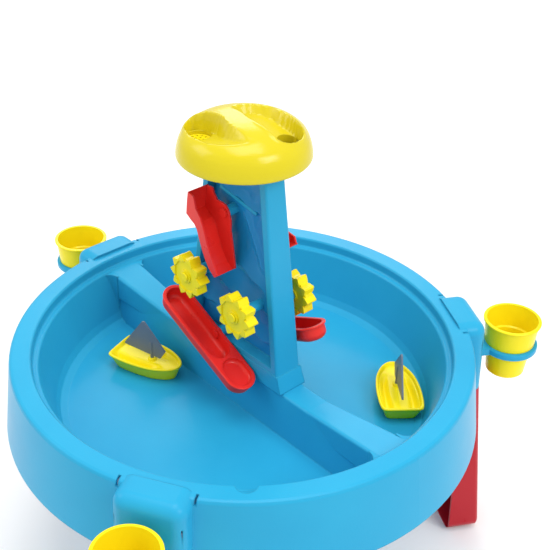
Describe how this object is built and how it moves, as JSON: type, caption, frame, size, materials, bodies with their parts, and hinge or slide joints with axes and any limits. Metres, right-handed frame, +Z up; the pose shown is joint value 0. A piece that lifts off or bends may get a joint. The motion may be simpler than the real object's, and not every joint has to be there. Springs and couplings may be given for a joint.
{
  "type": "sand and water table",
  "caption": "Round divided sand and water play table on channel legs, with a central water tower, star wheels, chutes, rocking troughs, rim cups and toy boats.",
  "frame": {"origin": "on the floor, under the middle of the whole object's box", "axes": "+Z up, +X along the tub's divider, -Y towards the compartment with the front chute and trough"},
  "size_m": [0.775, 0.782, 0.7365],
  "materials": {
    "blue_plastic": "glossy moulded plastic",
    "yellow_plastic": "glossy moulded plastic",
    "red_plastic": "glossy moulded plastic",
    "leg_plastic": "glossy moulded plastic",
    "grey_plastic": "satin moulded plastic",
    "peg_plastic": "glossy moulded plastic",
    "pin_plastic": "glossy moulded plastic",
    "screw_steel": "zinc plated"
  },
  "bodies": {
    "table": {"tub": "blue_plastic", "leg_left": "leg_plastic", "leg_right": "leg_plastic", "leg_front": "leg_plastic", "cup_holder_left": "blue_plastic", "cup_holder_right": "blue_plastic", "cup_holder_front": "blue_plastic", "tower_frame": "blue_plastic", "tower_cap": "yellow_plastic", "sieve_plate": "yellow_plastic", "wheel_pegs": "peg_plastic", "chute_pin_front": "pin_plastic", "chute_pin_back": "pin_plastic", "trough_pin_front": "pin_plastic", "trough_pin_back": "pin_plastic", "tower_screws": "screw_steel", "cap_screws": "screw_steel", "leg_screws": "screw_steel"},
    "cup_left": {"cup_left": "yellow_plastic"},
    "cup_right": {"cup_right": "yellow_plastic"},
    "cup_front": {"cup_front": "yellow_plastic"},
    "wheel_front_left": {"wheel_front_left": "yellow_plastic"},
    "wheel_front_right": {"wheel_front_right": "yellow_plastic"},
    "chute_front": {"chute_front": "red_plastic"},
    "trough_front": {"trough_front": "red_plastic"},
    "wheel_back_left": {"wheel_back_left": "yellow_plastic"},
    "wheel_back_right": {"wheel_back_right": "yellow_plastic"},
    "chute_back": {"chute_back": "red_plastic"},
    "trough_back": {"trough_back": "red_plastic"},
    "boat_left": {"boat_hull_left": "yellow_plastic", "boat_sail_left": "grey_plastic"},
    "boat_right": {"boat_hull_right": "yellow_plastic", "boat_sail_right": "grey_plastic"}
  },
  "joints": [
    {"name": "cup_left_lift", "type": "slide", "parent": "table", "child": "cup_left", "axis": [0, 0, 1], "range_m": [0, 0.12]},
    {"name": "cup_right_lift", "type": "slide", "parent": "table", "child": "cup_right", "axis": [0, 0, 1], "range_m": [0, 0.12]},
    {"name": "cup_front_lift", "type": "slide", "parent": "table", "child": "cup_front", "axis": [0, 0, 1], "range_m": [0, 0.12]},
    {"name": "wheel_front_left_spin", "type": "hinge", "parent": "table", "child": "wheel_front_left", "pos_m": [0.0065, -0.0525, 0.506], "axis": [0, 1, 0], "continuous": true},
    {"name": "wheel_front_right_spin", "type": "hinge", "parent": "table", "child": "wheel_front_right", "pos_m": [0.1025, -0.0525, 0.49], "axis": [0, 1, 0], "continuous": true},
    {"name": "chute_front_tip", "type": "hinge", "parent": "table", "child": "chute_front", "pos_m": [0.0445, -0.038, 0.607], "axis": [0, 1, 0], "range_deg": [-68, 10]},
    {"name": "trough_front_rock", "type": "hinge", "parent": "table", "child": "trough_front", "pos_m": [0.0325, -0.0465, 0.4125], "axis": [0, 1, 0], "range_deg": [-50, 0]},
    {"name": "wheel_back_left_spin", "type": "hinge", "parent": "table", "child": "wheel_back_left", "pos_m": [0.0065, 0.0525, 0.49], "axis": [0, 1, 0], "continuous": true},
    {"name": "wheel_back_right_spin", "type": "hinge", "parent": "table", "child": "wheel_back_right", "pos_m": [0.1025, 0.0525, 0.48], "axis": [0, 1, 0], "continuous": true},
    {"name": "chute_back_tip", "type": "hinge", "parent": "table", "child": "chute_back", "pos_m": [0.0715, 0.038, 0.588], "axis": [0, -1, 0], "range_deg": [0, 50]},
    {"name": "trough_back_rock", "type": "hinge", "parent": "table", "child": "trough_back", "pos_m": [0.0765, 0.0465, 0.4125], "axis": [0, -1, 0], "range_deg": [-50, 0]},
    {"name": "boat_left_lift", "type": "slide", "parent": "table", "child": "boat_left", "axis": [0, 0, 1], "range_m": [0, 0.08]},
    {"name": "boat_right_lift", "type": "slide", "parent": "table", "child": "boat_right", "axis": [0, 0, 1], "range_m": [0, 0.12]}
  ]
}
